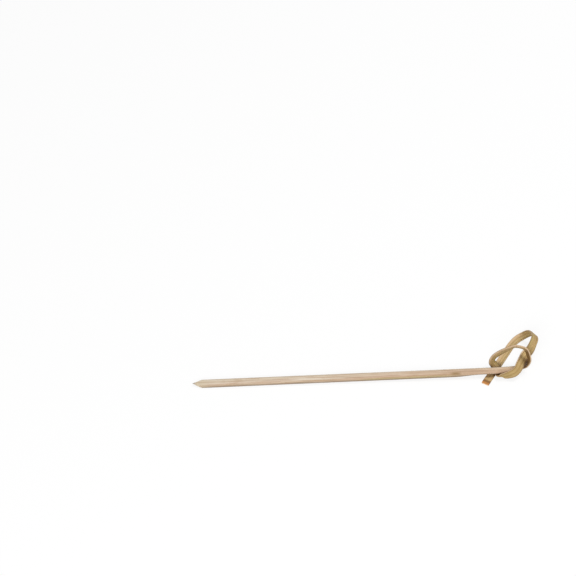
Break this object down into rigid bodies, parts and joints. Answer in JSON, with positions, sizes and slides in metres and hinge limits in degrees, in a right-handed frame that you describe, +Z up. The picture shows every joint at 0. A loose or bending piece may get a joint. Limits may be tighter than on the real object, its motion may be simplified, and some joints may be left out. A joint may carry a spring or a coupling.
{
  "type": "bamboo pick",
  "caption": "Disposable bamboo food pick: a flat split strip with a sharp point, shaved thin and tied into an overhand knot with a tall loop at the other end.",
  "frame": {"origin": "bottom centre of the object's box, as the pick lies at rest", "axes": "+X runs along the shaft from the point to the knot, +Z is up, +Y points to the back, where the tall loop lies"},
  "size_m": [0.1206, 0.0216, 0.0105],
  "materials": {
    "bamboo": "dry split bamboo with long fibres, satin"
  },
  "bodies": {
    "root": {"bamboo_pick": "bamboo"}
  },
  "joints": []
}
